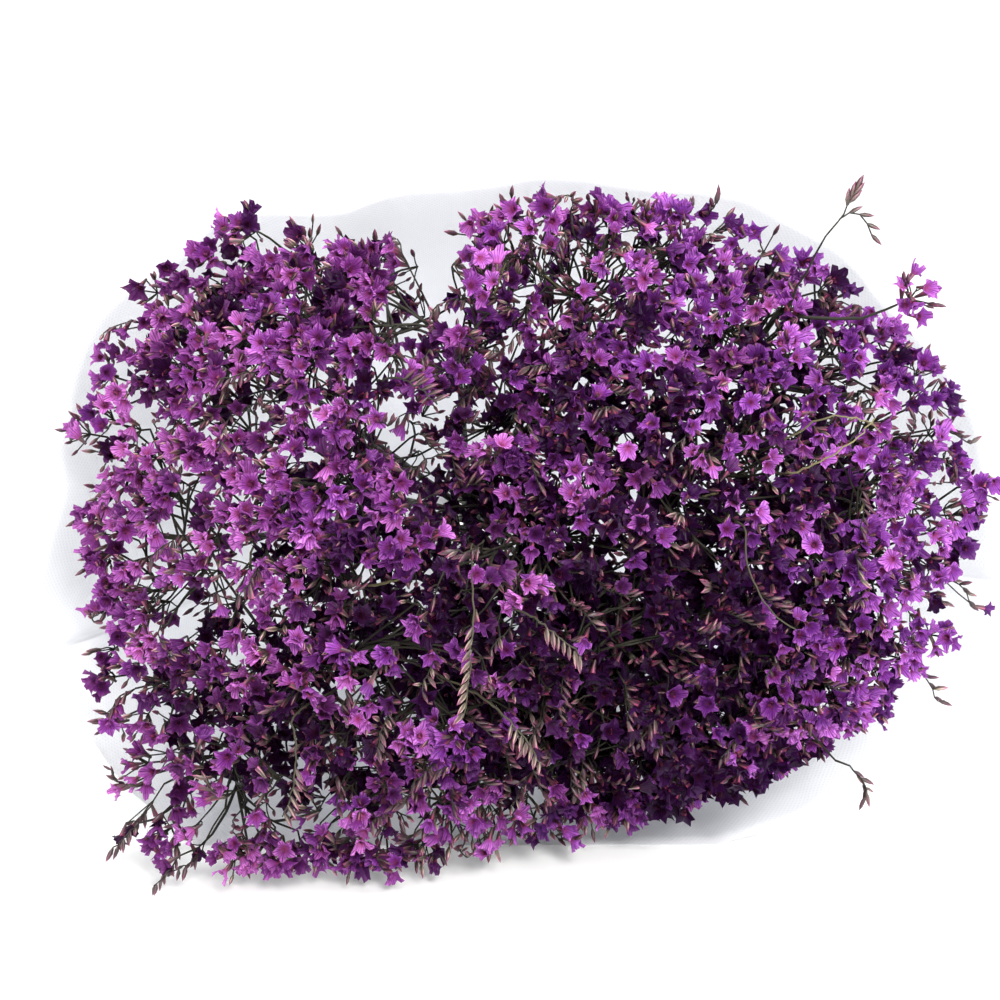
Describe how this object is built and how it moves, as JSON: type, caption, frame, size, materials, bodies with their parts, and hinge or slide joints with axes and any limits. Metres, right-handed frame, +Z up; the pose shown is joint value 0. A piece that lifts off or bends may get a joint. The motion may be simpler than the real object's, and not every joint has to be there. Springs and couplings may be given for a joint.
{
  "type": "dried caspia bunch",
  "caption": "Lying bunch of dried purple caspia: fine branching stems with small papery funnel florets, in a conical white non-woven sleeve gathered by a rubber band.",
  "frame": {"origin": "a flat spot of the sleeve's underside that lies on the surface, below the middle line of the bunch", "axes": "+Y from the flower head along the bunch to the cut stem ends, +Z up from the surface it lies on, +X to the right seen from the flower head"},
  "size_m": [0.2817, 0.5464, 0.1986],
  "materials": {
    "caspia": "matt, dry and papery violet to magenta florets on thin dark green stems",
    "sleeve": "matt white non-woven cloth with a fine pressed dot pattern, slightly translucent",
    "band": "matt natural rubber"
  },
  "bodies": {
    "root": {"spray_01": "caspia", "spray_02": "caspia", "spray_03": "caspia", "spray_04": "caspia", "spray_05": "caspia", "spray_06": "caspia", "spray_07": "caspia", "spray_08": "caspia", "spray_09": "caspia", "spray_10": "caspia", "spray_11": "caspia", "spray_12": "caspia", "spray_13": "caspia", "spray_14": "caspia", "spray_15": "caspia", "spray_16": "caspia", "sleeve": "sleeve", "band": "band"}
  },
  "joints": []
}
